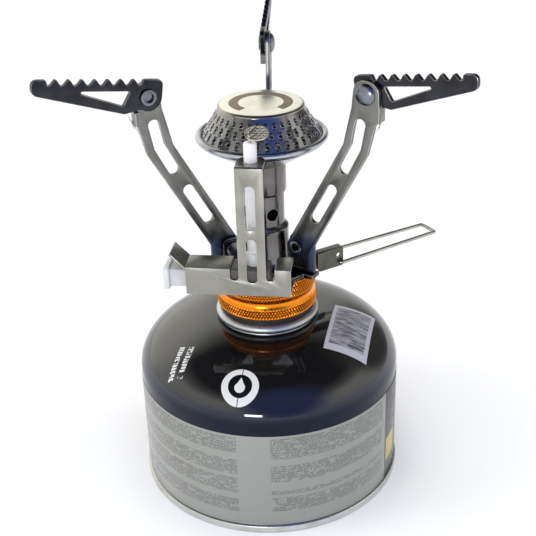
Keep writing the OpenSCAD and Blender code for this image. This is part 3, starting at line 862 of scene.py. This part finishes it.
@dataclass
class Canister:
    """The gas canister with its label, valve cup and stem."""

    sheet: float = 0.6
    shoulder_z: float = 51.0
    dome_steps: int = 56
    wall_r: float = field(init=False)
    dome_z: float = field(init=False)
    dome_r: float = field(init=False)
    foot_z: float = field(init=False)
    seam_r: float = field(init=False)
    cup_r: float = field(init=False)
    cup_top: float = field(init=False)

    def __post_init__(self) -> None:
        """Reads the driving sizes from the frame."""
        self.wall_r = high_mm("canister_shell").x
        self.dome_z = high_mm("canister_shell").z
        self.foot_z = low_mm("canister_shell").z
        self.seam_r = high_mm("canister_base").x
        self.cup_r = high_mm("valve_cup").x
        self.cup_top = high_mm("valve_cup").z
        self.dome_r = self.cup_r - 1.2

    def dome_height(self, radius: float, inset: float = 0.0) -> float:
        """The dome's height.

        Args:
            radius: the distance from the axis.
            inset: how far below the dome's outside the surface lies.

        Returns:
            The surface's height.
        """
        across = min(1.0, max(0.0, (radius - self.dome_r) / (self.wall_r - inset - self.dome_r)))
        return self.shoulder_z + (self.dome_z - inset - self.shoulder_z) * math.sqrt(1 - across * across)

    def dome_line(self, inset: float) -> list[tuple[float, float]]:
        """The dome's outline.

        Args:
            inset: how far inside the dome's outside it lies.

        Returns:
            Its points, from the wall up to the cup.
        """
        turns = [math.pi / 2 * i / self.dome_steps for i in range(self.dome_steps + 1)]
        width, height = self.wall_r - inset - self.dome_r, self.dome_z - inset - self.shoulder_z
        return [(self.dome_r + width * math.cos(a), self.shoulder_z + height * math.sin(a)) for a in turns]

    def shell(self) -> None:
        """The drawn shell with its dome."""
        outside = [(self.wall_r, self.foot_z), *self.dome_line(0)]
        inside = [*reversed(self.dome_line(self.sheet)), (self.wall_r - self.sheet, self.foot_z)]
        hang("canister_can", turned(outside + inside, 192), "canister", [LACQUER],
             ["canister_shell"])

    def base(self) -> None:
        """The base, rolled over the wall into a seam."""
        roll, seam_h, floor_r = 0.8, 3.4, self.wall_r - 3.2
        wall_in = self.wall_r - self.sheet
        outline = [
            *arc((self.seam_r - roll, roll), roll, -90, 0, 8),
            *arc((self.seam_r - roll, seam_h - roll), roll, 0, 100, 10),
            (self.wall_r, seam_h - 0.2), (self.wall_r, self.foot_z), (wall_in, self.foot_z),
            (wall_in, seam_h), (floor_r + 0.6, seam_h), (floor_r - 4, 6), (12, 9.2), (0, 9.5),
            (0, 8.9), (12, 8.6), (floor_r - 4.2, 5.4), (floor_r - 0.6, 2.6), (floor_r, 0.3),
            (floor_r + 0.3, 0),
        ]
        hang("canister_seam", turned(self.closed_at_axis(outline), 192), "canister",
             [SEAM_STEEL], ["canister_base"], 50)

    @staticmethod
    def closed_at_axis(outline: list[tuple[float, float]]) -> list[tuple[float, float]]:
        """The same outline started from its lower point on the axis, so that it ends on its upper one."""
        start = max(i for i, point in enumerate(outline) if point[0] == 0)
        return outline[start:] + outline[:start]

    def label(self) -> None:
        """The printed label round the wall."""
        low, high = low_mm("canister_label"), high_mm("canister_label")
        inner = high.x - 0.12
        bm = turned([(inner, low.z), (high.x, low.z), (high.x, high.z), (inner, high.z)], 192)
        round_edges(bm, sharp_edges(bm), 0.04)
        hang("canister_print", bm, "canister", [LABEL], ["canister_label"])

    def cup(self) -> None:
        """The valve cup, crimped over the dome's mouth in a bead."""
        bead, top = 1.9, self.cup_top
        neck = self.cup_r - bead
        outline = [
            (self.dome_r, self.dome_z - self.sheet), (self.dome_r, self.dome_z),
            *arc((neck, self.dome_z + bead + 0.3), bead, -75, 88, 28),
            (neck, top - 0.3), (neck - 0.3, top), (15.8, top), (15, top - 0.5), (14.6, top - 1.4),
            (14.1, 71.5), (13.2, 70.8), (8, 69.5), (6.2, 70.1), (5.5, 71), (5.5, 70), (8, 68.8), (14.5, 70),
            (15.5, self.dome_z - 2.2),
        ]
        bm = turned(outline)
        # Painted shade: the neck faces above the bead get the near-black steel, standing in for the shade
        # and dark reflection under the valve body.
        for face in bm.faces:
            middle = face.calc_center_median() / MM
            if middle.z > self.dome_z + 2 * bead + 0.32 and middle.xy.length > neck - 0.4:
                face.material_index = 1
        hang("valve_cup_turned", bm, "canister", [CUP_STEEL, DARK_STEEL], ["valve_cup"], 40)

    def sticker(self) -> None:
        """A paper sticker that follows the dome's curve."""
        thick, lift = 0.05, 0.03
        back = (Vector((28.0, 6.4)), Vector((44.8, 5.5)))
        front = (Vector((23.7, -25.6)), Vector((40.6, -26.3)))
        bm = bmesh.new()
        bmesh.ops.create_grid(bm, x_segments=36, y_segments=60, size=0.5)
        for vert in bm.verts:
            across, along = vert.co.x + 0.5, vert.co.y + 0.5
            place = front[0].lerp(front[1], across).lerp(back[0].lerp(back[1], across), along)
            vert.co = Vector((*place, self.dome_height(place.length) + lift)) * MM
        bmesh.ops.recalc_face_normals(bm, faces=bm.faces)
        if sum(face.normal.z for face in bm.faces) < 0:
            bmesh.ops.reverse_faces(bm, faces=bm.faces)
        bmesh.ops.solidify(bm, geom=bm.faces[:], thickness=-thick * MM)
        hang("canister_sticker", bm, "canister", [STICKER])

    def build(self) -> None:
        """Makes the canister's pieces."""
        self.shell()
        self.base()
        self.label()
        self.cup()
        self.sticker()
        for node, finish in (("valve_stem", BRASS), ("valve_stem_gasket", RUBBER), ("valve_pin", BRASS),
                             ("valve_spring", WIRE_STEEL), ("seat_washer", RUBBER)):
            dress(node, finish)


@dataclass
class ValveBody:
    """The knurled valve body with what is screwed into it."""

    diamonds: int = 104
    knurl_depth: float = 0.42
    groove_half: float = 2.4
    groove_at: float = 6.9
    groove_deep: float = 0.9
    chamfer: float = 0.7
    row: float = 0.22
    radius: float = field(init=False)
    low: float = field(init=False)
    high: float = field(init=False)

    def __post_init__(self) -> None:
        """Reads the driving sizes from the frame."""
        self.radius = high_mm("valve_body").x
        self.low = low_mm("valve_body").z
        self.high = high_mm("valve_body").z

    def bands(self) -> tuple[tuple[float, float], ...]:
        """The lowest and highest point of each knurled band."""
        groove = self.low + self.groove_at
        return ((self.low + self.chamfer, groove - self.groove_half + 0.3),
                (groove + self.groove_half - 0.3, self.high - self.chamfer))

    def outline(self) -> list[tuple[float, float]]:
        """The body's outline.

        Returns:
            Its points, from the axis at the bottom to the axis at the top.
        """
        (low_a, high_a), (low_b, high_b) = self.bands()
        points = [(0, self.low), (self.radius - self.chamfer, self.low)]
        points += self.rows(low_a, high_a)
        for i in range(1, 20):
            height = high_a + (low_b - high_a) * i / 20
            points.append((self.radius - self.hollow(height), height))
        points += self.rows(low_b, high_b)
        return [*points, (self.radius - self.chamfer, self.high), (0, self.high)]

    def hollow(self, height: float) -> float:
        """How deep the smooth groove is at a height."""
        across = min(1.0, abs(height - self.low - self.groove_at) / self.groove_half)
        return self.groove_deep * (1 - across * across)

    def rows(self, low: float, high: float) -> list[tuple[float, float]]:
        """Closely spaced points up the side, for the knurl.

        Args:
            low: the lowest point's height.
            high: the highest point's height.

        Returns:
            The points.
        """
        count = math.ceil((high - low) / self.row)
        heights = [low + (high - low) * i / count for i in range(count + 1)]
        return [(self.radius - self.hollow(height), height) for height in heights]

    def knurl(self, bm: bmesh.types.BMesh) -> None:
        """Cuts two crossing sets of slanting grooves into the bands.

        Args:
            bm: the body's mesh, whose points also get the share of the full depth that they are cut, which
                the orange finish uses to paint shade into the grooves.
        """
        pitch = math.tau * self.radius / self.diamonds
        rise = pitch * math.tan(math.radians(60))
        depth = bm.verts.layers.float.new(GROOVE)
        for vert in bm.verts:
            height, angle = vert.co.z / MM, math.atan2(vert.co.y, vert.co.x)
            band = next((b for b in self.bands() if b[0] - 0.01 <= height <= b[1] + 0.01), None)
            if band is None or vert.co.xy.length < (self.radius - 0.4) * MM:
                continue
            fade = min(1.0, (height - band[0]) / 0.5, (band[1] - height) / 0.5)
            across = angle * self.diamonds / math.tau
            ridges = [1 - abs(2 * ((across + way * height / rise) % 1.0) - 1) for way in (1, -1)]
            cut = self.knurl_depth * (1 - min(1.0, 1.5 * min(ridges))) * max(0.0, fade)
            # This cut share also paints shade into the grooves through the orange finish.
            vert[depth] = cut / self.knurl_depth
            scale = 1 - cut / self.radius
            vert.co.x *= scale
            vert.co.y *= scale

    def build(self) -> None:
        """Makes the body and dresses what is in it."""
        bm = turned(self.outline(), self.diamonds * 7)
        self.knurl(bm)
        hang("valve_body_knurled", bm, "stove", [ORANGE], ["valve_body"], 60)
        for node in ("thread_insert", "opening_pin", "gas_jet", "spindle_gland"):
            dress(node, BRASS)
        dress("spindle_oring", RUBBER)
        softened("base_plate", "stove", DARK_STEEL, 0.2, DARK_STEEL.worn())
        softened("base_rivets", "stove", RIVET_STEEL, 0.18, RIVET_STEEL.worn())


@dataclass
class Burner:
    """The mixing tube and the burner head."""

    holes_per_row: int = 36
    rows: int = 3
    rim_wire: float = 0.12
    tube_r: float = field(init=False)
    pan_r: float = field(init=False)
    pan_top: float = field(init=False)
    cone_foot: Vector = field(init=False)
    cone_head: Vector = field(init=False)
    cap_r: float = field(init=False)

    def __post_init__(self) -> None:
        """Reads the driving sizes from the frame."""
        self.tube_r = high_mm("mixer_tube").x
        self.pan_r = high_mm("burner_pan").x
        self.pan_top = high_mm("burner_pan").z
        self.cap_r = high_mm("burner_cap").x
        cone_top = high_mm("burner_cone")
        self.cone_foot = Vector((cone_top.x, 0, low_mm("burner_cone").z + 1.25))
        self.cone_head = Vector((self.cap_r - 0.4, 0, cone_top.z))

    def collar(self) -> None:
        """The collar round the tube's foot, with a flared lip."""
        low, high = low_mm("mixer_collar").z, high_mm("mixer_collar").z
        wall = self.tube_r + 1.6
        outline = [
            (self.tube_r, low), (wall + 1.2, low), (wall + 1.2, low + 1.2), (wall + 0.4, low + 1.8),
            (wall, low + 2.6), (wall - 0.1, high - 3.4), (wall, high - 3.0), (wall, high - 2.6),
            *arc((wall - 1.0, high - 2.2), 1.0, 0, 70, 6), (self.tube_r, high),
        ]
        hang("mixer_collar_turned", turned(outline), "stove", [TUBE_STEEL],
             ["mixer_collar"], 40)

    def tube(self) -> None:
        """The tube with its air holes, and the sleeve above them."""
        softened("mixer_tube", "stove", TUBE_STEEL, 0.15, TUBE_STEEL.worn())
        low, high = low_mm("burner_sleeve").z, high_mm("burner_sleeve").z
        outer = high_mm("burner_sleeve").x
        outline = [(self.tube_r, low), (self.tube_r + 0.3, low), (self.tube_r + 0.6, low + 0.3),
                   (outer - 0.1, low + 1.1), (outer, low + 1.5), (outer, high), (self.tube_r, high)]
        hang("burner_sleeve_turned", turned(outline), "stove", [TUBE_STEEL],
             ["burner_sleeve"], 40)

    def pan(self) -> None:
        """The pan under the cone, with its rolled rim."""
        foot, wall, bead = low_mm("burner_pan").z, 0.6, 1.2
        sleeve, rim = self.tube_r + 2, self.pan_top - bead
        outline = [
            (self.tube_r, foot), (sleeve - 0.4, foot), (sleeve + 0.4, foot + 0.25),
            (self.pan_r - 6, rim - 4.6), (self.pan_r - 3, rim - 2.9), (self.pan_r - 1.4, rim - 1.9),
            *arc((self.pan_r - bead, rim), bead, -80, 180, 28),
            (self.pan_r - 2 * bead, rim - 0.9), (self.pan_r - 6, rim - 4.6 + wall * 1.4),
            (sleeve, foot + wall), (self.tube_r, foot + wall),
        ]
        hang("burner_pan_turned", turned(outline, 192), "stove", [PAN_STEEL],
             ["burner_pan"], 40)

    def cap(self) -> None:
        """The polished cap, rolled down over the cone."""
        low, high = low_mm("burner_cap").z, high_mm("burner_cap").z
        outline = [
            (0, low), (self.cap_r - 0.3, low), (self.cap_r, low + 0.25), (self.cap_r - 0.05, low + 0.5),
            (self.cap_r - 0.3, low + 0.85), (self.cap_r - 0.8, low + 1.1), (self.cap_r - 1.6, high - 0.12),
            (self.cap_r - 4, high - 0.05), (0, high),
        ]
        hang("burner_cap_turned", turned(outline, 192), "stove", [CAP], ["burner_cap"], 40)

    def hole_rims(self) -> None:
        """A raised burr round each gas hole."""
        slope = (self.cone_head - self.cone_foot).normalized()
        out = Vector((slope.z, 0, -slope.x))
        bm = bmesh.new()
        side = Matrix((slope, out, slope.cross(out))).transposed().to_4x4()
        for row in range(self.rows):
            centre = self.cone_foot.lerp(self.cone_head, 0.19 + 0.285 * row)
            radius = 1.03 - 0.14 * row
            known = set(bm.verts)
            section = bmesh.ops.create_circle(bm, segments=5, radius=self.rim_wire * MM)["verts"]
            bmesh.ops.transform(bm, matrix=side, verts=section)
            bmesh.ops.translate(bm, vec=(centre + slope * radius) * MM, verts=section)
            loop = section + list({e for v in section for e in v.link_edges})
            bmesh.ops.spin(bm, geom=loop, cent=centre * MM, axis=out, angle=math.tau, steps=14,
                           use_merge=True)
            ring = [v for v in bm.verts if v not in known]
            turn = Matrix.Rotation(math.pi * (row % 2) / self.holes_per_row, 3, "Z")
            bmesh.ops.rotate(bm, cent=(0, 0, 0), matrix=turn, verts=ring)
            faces = list({f for v in ring for f in v.link_faces})
            bmesh.ops.spin(bm, geom=faces, cent=(0, 0, 0), axis=(0, 0, 1), steps=self.holes_per_row - 1,
                           angle=math.tau * (1 - 1 / self.holes_per_row), use_duplicate=True)
        bmesh.ops.recalc_face_normals(bm, faces=bm.faces)
        hang("gas_hole_rims", bm, "stove", [HOLE_STEEL], smooth_angle=80)

    def build(self) -> None:
        """Makes the burner's pieces."""
        self.collar()
        self.tube()
        self.pan()
        self.cap()
        self.hole_rims()
        dress("burner_cone", CONE_STEEL)
        dress("flame_screen", WIRE_STEEL)


@dataclass
class Arms:
    """The three folding arms with their rivets and pot supports."""

    edge: float = 0.22
    sides: tuple[str, ...] = ("left", "right", "back")

    def build(self) -> None:
        """Makes each arm's pieces."""
        for side in self.sides:
            softened(f"arm_{side}", f"arm_{side}", ARM_STEEL, self.edge, ARM_STEEL.worn())
            softened(f"top_rivet_{side}", f"arm_{side}", RIVET_STEEL, 0.15)
            softened(f"pot_support_{side}", f"support_{side}", DARK_STEEL, self.edge,
                     DARK_STEEL.worn())


@dataclass
class Handle:
    """The valve spindle, its bracket and the folding wire handle."""

    reach: float = 53.0
    bracket_half: float = 5.0
    wire_gap: float = 0.4
    wire_r: float = 0.8
    hook_bend: float = 1.2
    end_bend: float = 2.6

    def wire(self) -> None:
        """The wire loop, hooked into the bracket at both ends."""
        hinge = next(j for j in FRAME["joints"] if j["name"] == "handle_fold")
        at = Vector(hinge["pos_m"]) / MM
        side = Vector(hinge["axis"])
        out = Vector((0, 0, 1)).cross(side) * -1
        if out.dot(at.xy.to_3d()) < 0:
            out = -out
        half = self.bracket_half + self.wire_gap + self.wire_r
        tip = self.bracket_half - 1.4
        corners = [at + side * tip, at + side * half, at + side * half + out * self.reach,
                   at - side * half + out * self.reach, at - side * half, at - side * tip]
        path = bent(corners, (self.hook_bend, self.end_bend, self.end_bend, self.hook_bend))
        hang("handle_wire_drawn", drawn_wire(path, self.wire_r), "handle_wire", [WIRE_STEEL],
             ["handle_wire"], 50)

    def build(self) -> None:
        """Makes the handle's pieces."""
        self.wire()
        dress("valve_spindle", BRASS)
        softened("handle_bracket", "spindle", BRACKET_STEEL, 0.15, SHEET_STEEL)


@dataclass
class Igniter:
    """The push-button igniter in its bent sheet channel."""

    fold: float = 0.75
    wire_r: float = 0.58

    def channel(self) -> None:
        """The channel, with its outer folds rounded more than its cut edges."""
        bm = copied("igniter_channel")
        low, high = low_mm("igniter_channel"), high_mm("igniter_channel")
        turn = Matrix.Rotation(math.radians(3), 3, "Z")
        front = min((turn @ v.co).y for v in bm.verts) / MM
        flange = low.z + 11
        folds = []
        for edge in sharp_edges(bm, 60):
            ends = [turn @ v.co / MM for v in edge.verts]
            level = (ends[0].z + ends[1].z) / 2
            along = abs(ends[0].x - ends[1].x) > 1 and abs(ends[0].z - ends[1].z) < 0.01
            in_front = max(abs(p.y - front) for p in ends) < 0.01
            if along and in_front and min(abs(level - z) for z in (low.z, flange, high.z)) < 0.05:
                folds.append(edge)
        round_edges(bm, folds, self.fold, segments=4)
        round_edges(bm, sharp_edges(bm, 40), 0.12, finish=1)
        hang("igniter_channel_bent", bm, "stove", [SHEET_STEEL, SHEET_STEEL.worn()],
             ["igniter_channel"], 30)

    def electrode(self) -> None:
        """The electrode's wire, bent over the spark disc."""
        low, high = low_mm("electrode_wire"), high_mm("electrode_wire")
        ceramic = (low_mm("ceramic_tube") + high_mm("ceramic_tube")) / 2
        foot = Vector((ceramic.x, ceramic.y, low.z))
        bend = Vector((ceramic.x, ceramic.y, high.z - self.wire_r - 1.28))
        tip = Vector((high.x - 0.5, high.y - 0.45, high.z - self.wire_r))
        path = bent([foot, bend, tip], [0.7])
        hang("electrode_drawn", drawn_wire(path, self.wire_r), "stove", [WIRE_STEEL],
             ["electrode_wire"], 50)

    def ceramic(self) -> None:
        """The glazed ceramic tube, with a rounded top."""
        low, high = low_mm("ceramic_tube"), high_mm("ceramic_tube")
        radius = (high.x - low.x) / 2
        outline = [(0, low.z), (radius - 0.2, low.z), (radius, low.z + 0.2),
                   *arc((radius - 0.7, high.z - 0.7), 0.7, 0, 90, 6), (0.62, high.z), (0.6, high.z - 3),
                   (0, high.z - 3)]
        bm = turned(outline, 48)
        middle = Vector(((low.x + high.x) / 2, (low.y + high.y) / 2, 0))
        bmesh.ops.translate(bm, vec=middle * MM, verts=bm.verts)
        hang("ceramic_tube_glazed", bm, "stove", [CERAMIC], ["ceramic_tube"], 50)

    def build(self) -> None:
        """Makes the igniter's pieces."""
        self.channel()
        self.electrode()
        self.ceramic()
        softened("spark_disc", "stove", DISC_STEEL, 0.06, DISC_STEEL.worn())
        softened("piezo_button", "button", GREY_PLASTIC, 0.45)
        softened("piezo_unit", "stove", DARK_PLASTIC, 0.3)
        softened("lead_boot", "stove", GREY_PLASTIC, 0.3)
        softened("igniter_screws", "stove", RIVET_STEEL, 0.12, RIVET_STEEL.worn())


# ---- Floor, light and camera ----


@dataclass
class Studio:
    """A pale floor, soft light and the camera."""

    camera_at: Vector = field(default_factory=lambda: Vector((32.5, -378.6, 287.3)))
    heading: float = 4.79
    pitch: float = 27.28
    roll: float = 1.80
    lens: float = 70.57

    def camera(self) -> None:
        """The camera, in front of the stove and above it."""
        data = bpy.data.cameras.new("camera")
        data.lens = self.lens
        data.clip_start, data.clip_end = 0.01, 50
        camera = bpy.data.objects.new("camera", data)
        turn, down = math.radians(self.heading), math.radians(self.pitch)
        ahead = Vector((-math.sin(turn) * math.cos(down), math.cos(turn) * math.cos(down), -math.sin(down)))
        aim = ahead.to_track_quat("-Z", "Y").to_matrix() @ Matrix.Rotation(math.radians(-self.roll), 3, "Z")
        camera.matrix_world = Matrix.Translation(self.camera_at * MM) @ aim.to_4x4()
        bpy.context.scene.collection.objects.link(camera)
        bpy.context.scene.camera = camera

    def floor(self) -> None:
        """The pale floor."""
        bm = bmesh.new()
        bmesh.ops.create_grid(bm, x_segments=2, y_segments=2, size=60)
        mesh = bpy.data.meshes.new("floor")
        bm.to_mesh(mesh)
        bm.free()
        tree = Tree(bpy.data.materials.new("pale_floor"))
        cloud = tree.noise(tree.place(), 400.0)
        mesh.materials.append(tree.finish(
            Base_Color=tree.mix(cloud, (0.93, 0.93, 0.93), (0.90, 0.90, 0.90)), Roughness=0.9,
            Specular_IOR_Level=0.1))
        floor = bpy.data.objects.new("floor", mesh)
        bpy.context.scene.collection.objects.link(floor)

    def light(self, name: str, azimuth: float, elevation: float, distance: float, size: tuple[float, float],
              power: float, colour: Colour = (1, 1, 1), mirrored: bool = True) -> None:
        """A soft panel of light that faces the stove.

        Args:
            name: the light's name.
            azimuth: its direction from the stove, in degrees from +X.
            elevation: its height above the horizon, in degrees.
            distance: its distance, in metres.
            size: its width and height, in metres.
            power: its power, in watts.
            colour: its colour.
            mirrored: whether polished surfaces show it.
        """
        data = bpy.data.lights.new(name, "AREA")
        data.shape = "RECTANGLE"
        data.size, data.size_y = size
        data.energy = power
        data.color = colour
        lamp = bpy.data.objects.new(name, data)
        a, e = math.radians(azimuth), math.radians(elevation)
        away = Vector((math.cos(a) * math.cos(e), math.sin(a) * math.cos(e), math.sin(e)))
        aim = (-away).to_track_quat("-Z", "Y").to_matrix().to_4x4()
        lamp.matrix_world = Matrix.Translation(away * distance + Vector((0, 0, 0.09))) @ aim
        lamp.visible_glossy = mirrored
        bpy.context.scene.collection.objects.link(lamp)

    def daylight(self, strength: float) -> None:
        """Even light from overhead that polished surfaces don't show.

        Args:
            strength: the light's strength.
        """
        data = bpy.data.lights.new("daylight", "SUN")
        data.energy = strength
        data.angle = math.radians(70)
        lamp = bpy.data.objects.new("daylight", data)
        lamp.matrix_world = Matrix.Rotation(math.radians(8), 4, "X")
        lamp.visible_glossy = False
        bpy.context.scene.collection.objects.link(lamp)

    def surroundings(self) -> None:
        """A studio that is bright low down, dark overhead and blue above the front."""
        world = bpy.data.worlds.new("studio")
        bpy.context.scene.world = world
        tree = Tree(world)
        way = tree.node("ShaderNodeTexCoord").outputs["Generated"]
        colour = tree.ramp(tree.split(way)[2], (
            (0.0, (0.95, 0.94, 0.90)), (0.49, (1.0, 0.99, 0.94)), (0.62, (0.40, 0.40, 0.38)),
            (0.76, (0.05, 0.05, 0.055)), (1.0, (0.02, 0.022, 0.03))))
        patches = (((0.25, -0.80, 0.55), 0.70, 0.97, (0.11, 0.17, 0.50)),
                   ((0.62, 0.66, 0.42), 0.80, 0.96, (0.16, 0.16, 0.15)),
                   ((-0.62, 0.74, 0.28), 0.80, 0.98, (1.4, 1.37, 1.26)))
        for centre, fade, full, tint in patches:
            inputs = {0: way, 1: Vector(centre).normalized()}
            facing = tree.node("ShaderNodeVectorMath", inputs, operation="DOT_PRODUCT").outputs["Value"]
            colour = tree.mix(tree.span(facing, fade, full), colour, tint)
        glow = tree.node("ShaderNodeBackground", {0: colour, 1: 1.0})
        tree.node("ShaderNodeOutputWorld", {0: glow.outputs[0]})

    def build(self) -> None:
        """Sets up the floor, the light and the camera."""
        self.camera()
        self.floor()
        self.surroundings()
        self.light("key_panel", -99, 5, 1.5, (0.36, 0.14), 5)
        self.light("left_panel", -165, 30, 1.6, (0.5, 1.0), 5, (1.0, 0.99, 0.95), mirrored=False)
        self.light("right_panel", 20, 42, 1.6, (0.35, 0.9), 2.5, (1.0, 0.97, 0.92), mirrored=False)
        self.daylight(2.2)
        bpy.context.scene.view_settings.view_transform = "Standard"


def main() -> None:
    """Builds the stove's looks round the frame."""
    logging.basicConfig(level=logging.INFO, format="%(message)s")
    FRAME.update(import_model())
    Studio().build()
    for part in (Canister(), ValveBody(), Burner(), Arms(), Handle(), Igniter()):
        log.info("building %s", type(part).__name__)
        part.build()


if __name__ == "__main__":
    main()
